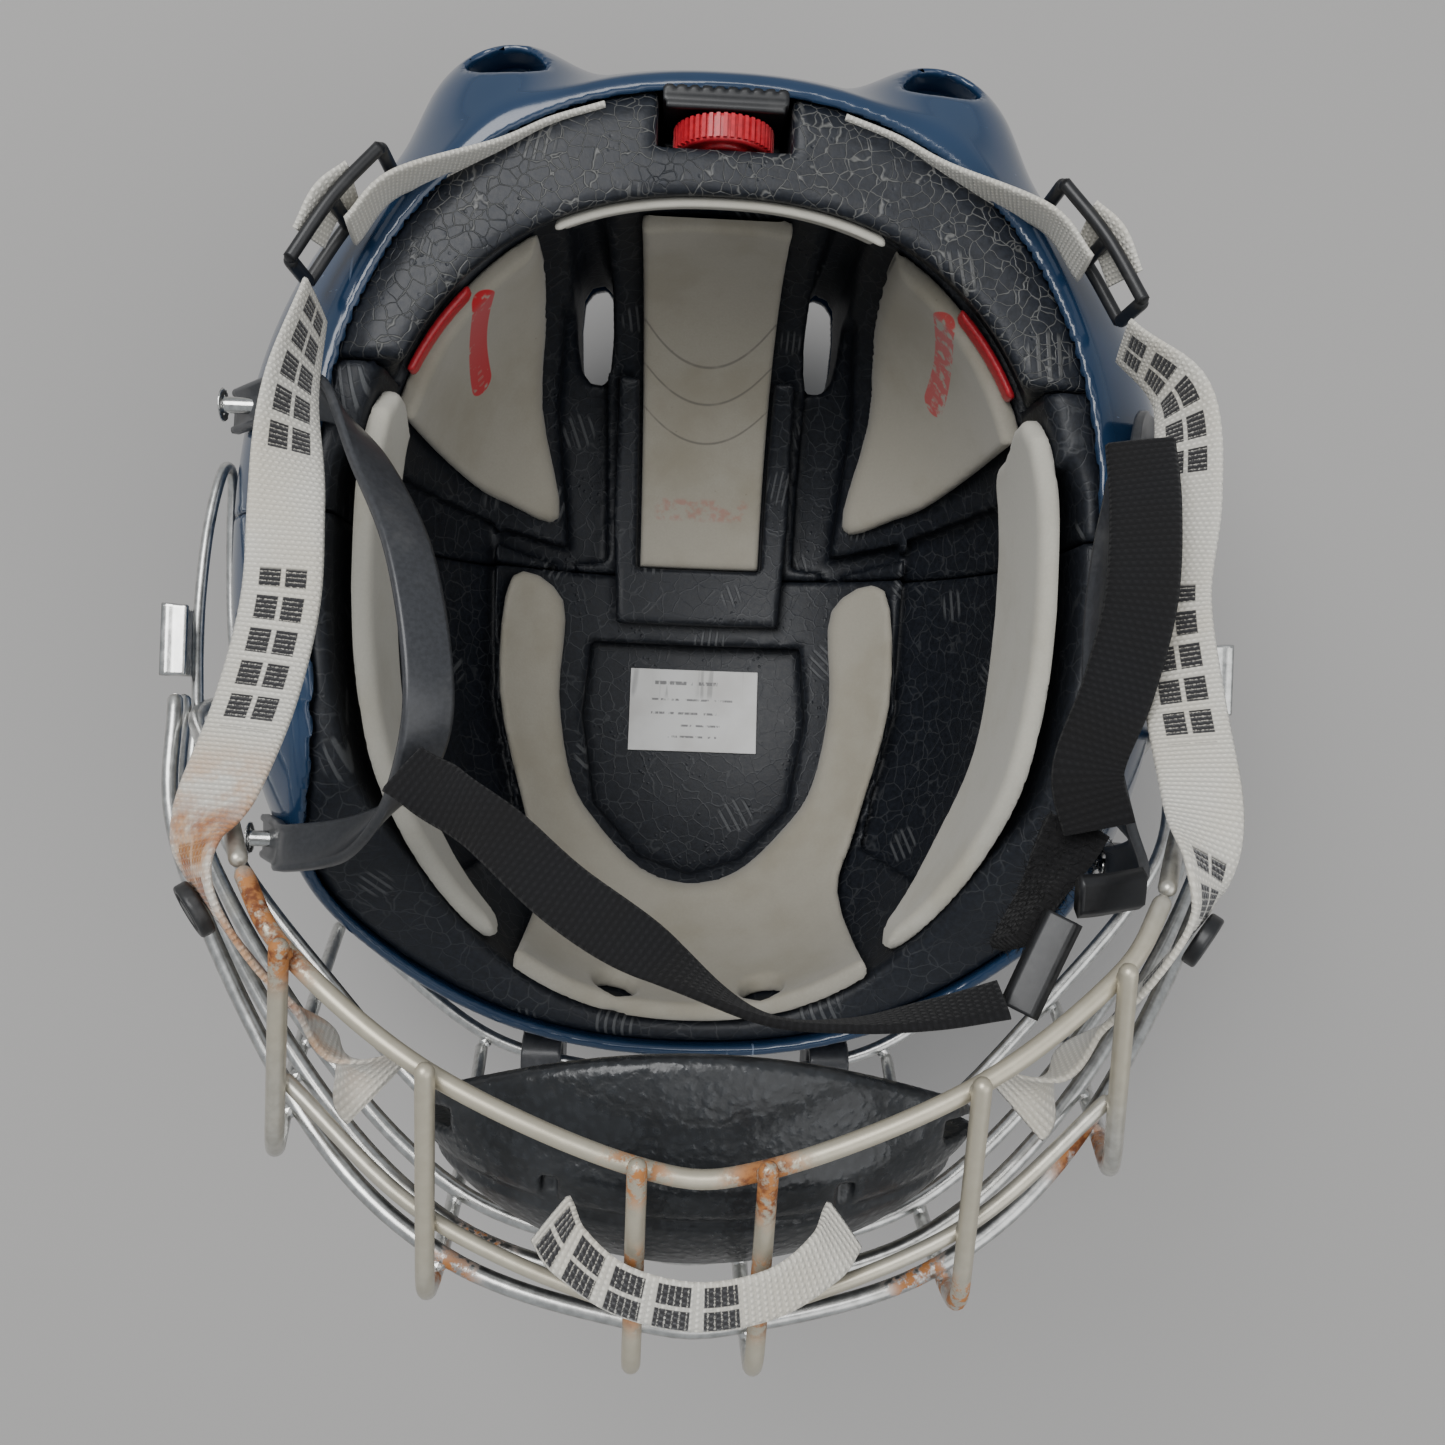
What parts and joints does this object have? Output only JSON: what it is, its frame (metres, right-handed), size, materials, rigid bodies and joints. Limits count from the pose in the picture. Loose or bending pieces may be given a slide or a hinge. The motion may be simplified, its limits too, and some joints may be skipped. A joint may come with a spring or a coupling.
{
  "type": "ice hockey helmet with face cage",
  "caption": "Ice hockey helmet with foam liner, fit dial, ear loops, webbing straps and a hinged steel wire face cage with a chin cup.",
  "frame": {"origin": "on the flat of the crown, which the helmet rests on, in the middle plane", "axes": "+Z out of the head opening, +Y to the back of the helmet, -Y to the face cage, +X to the wearer's left ear"},
  "size_m": [0.2596, 0.2913, 0.2504],
  "materials": {
    "navy_shell": "gloss, light scratches",
    "black_foam": "moulded bead foam with a skin",
    "pad_foam": "soft foam pad, matt",
    "red_plastic": "translucent, moulded",
    "black_plastic": "moulded",
    "smoke_plastic": "smoky, slightly translucent",
    "steel_wire": "satin plated wire with rust spots",
    "white_webbing": "woven elastic",
    "black_webbing": "woven strap",
    "label_paper": "printed sticker, worn"
  },
  "bodies": {
    "helmet": {"front_shell": "navy_shell", "rear_shell": "navy_shell", "liner_front": "black_foam", "liner_rear": "black_foam", "liner_rear_band": "black_foam", "crown_block": "black_foam", "crown_pad": "pad_foam", "rear_pad_left": "pad_foam", "rear_pad_right": "pad_foam", "forehead_pad": "pad_foam", "side_pad_left": "pad_foam", "side_pad_right": "pad_foam", "size_label": "label_paper", "nape_pad": "pad_foam", "adjuster_housing": "black_plastic", "ear_loop_left": "smoke_plastic", "ear_screw_rear_left": "steel_wire", "ear_screw_front_left": "steel_wire", "ear_loop_right": "smoke_plastic", "ear_screw_rear_right": "steel_wire", "ear_screw_front_right": "steel_wire", "brow_clip_left": "smoke_plastic", "brow_screw_left": "steel_wire", "brow_clip_right": "smoke_plastic", "brow_screw_right": "steel_wire", "strap_rear_left": "white_webbing", "strap_rear_right": "white_webbing", "strap_slide_left": "black_plastic", "strap_slide_right": "black_plastic", "chin_strap_left": "black_webbing", "chin_strap_right": "black_webbing", "chin_strap_sleeve": "black_webbing", "buckle_body": "black_plastic"},
    "cage": {"cage_upright_outer_left": "steel_wire", "cage_upright_outer_right": "steel_wire", "cage_upright_middle_left": "steel_wire", "cage_upright_middle_right": "steel_wire", "cage_upright_inner_left": "steel_wire", "cage_upright_inner_right": "steel_wire", "cage_chin_bar": "steel_wire", "cage_shelf_bar": "steel_wire", "cage_side_frame_left": "steel_wire", "cage_side_frame_right": "steel_wire", "cage_brow_bar": "steel_wire", "cage_face_bar_1": "steel_wire", "cage_face_bar_2": "steel_wire", "cage_face_bar_3": "steel_wire", "cage_face_bar_4": "steel_wire", "strap_front_left": "white_webbing", "strap_front_right": "white_webbing", "strap_snap_left": "black_plastic", "strap_snap_right": "black_plastic", "chin_cup_strap": "white_webbing"},
    "dial": {"adjuster_dial": "red_plastic"},
    "arm_left": {"occipital_arm_left": "black_plastic"},
    "arm_right": {"occipital_arm_right": "black_plastic"},
    "clip_left": {"side_clip_left": "steel_wire"},
    "clip_right": {"side_clip_right": "steel_wire"},
    "lever": {"buckle_lever": "black_plastic"},
    "cup": {"chin_cup": "black_foam"}
  },
  "joints": [
    {"name": "cage_flip", "type": "hinge", "parent": "helmet", "child": "cage", "pos_m": [0, -0.13023, 0.089], "axis": [1, 0, 0], "range_deg": [0, 100]},
    {"name": "dial_turn", "type": "hinge", "parent": "helmet", "child": "dial", "pos_m": [0, 0.106, 0.14], "axis": [0, 1, 0], "range_deg": [0, 360]},
    {"name": "arm_left_slide", "type": "slide", "parent": "helmet", "child": "arm_left", "axis": [1, 0, 0], "range_m": [0, 0.0041]},
    {"name": "arm_right_slide", "type": "slide", "parent": "helmet", "child": "arm_right", "axis": [-1, 0, 0], "range_m": [0, 0.0041]},
    {"name": "clip_left_open", "type": "hinge", "parent": "cage", "child": "clip_left", "pos_m": [-0.1245, -0.02, 0.1345], "axis": [0, 1, 0], "range_deg": [0, 55]},
    {"name": "clip_right_open", "type": "hinge", "parent": "cage", "child": "clip_right", "pos_m": [0.1245, -0.02, 0.1345], "axis": [0, -1, 0], "range_deg": [0, 55]},
    {"name": "lever_open", "type": "hinge", "parent": "helmet", "child": "lever", "pos_m": [0.0752, -0.0715, 0.2136], "axis": [-0.4041, -0.9091, -0.101], "range_deg": [0, 40]},
    {"name": "cup_tilt", "type": "hinge", "parent": "cage", "child": "cup", "pos_m": [0, -0.112, 0.215], "axis": [1, 0, 0], "range_deg": [-4, 4], "stiffness_Nm_per_rad": 0.6}
  ],
  "couplings": [
    {"joint": "arm_left_slide", "follows": "dial_turn", "m_per_rad": 0.00063},
    {"joint": "arm_right_slide", "follows": "dial_turn", "m_per_rad": 0.00063}
  ]
}
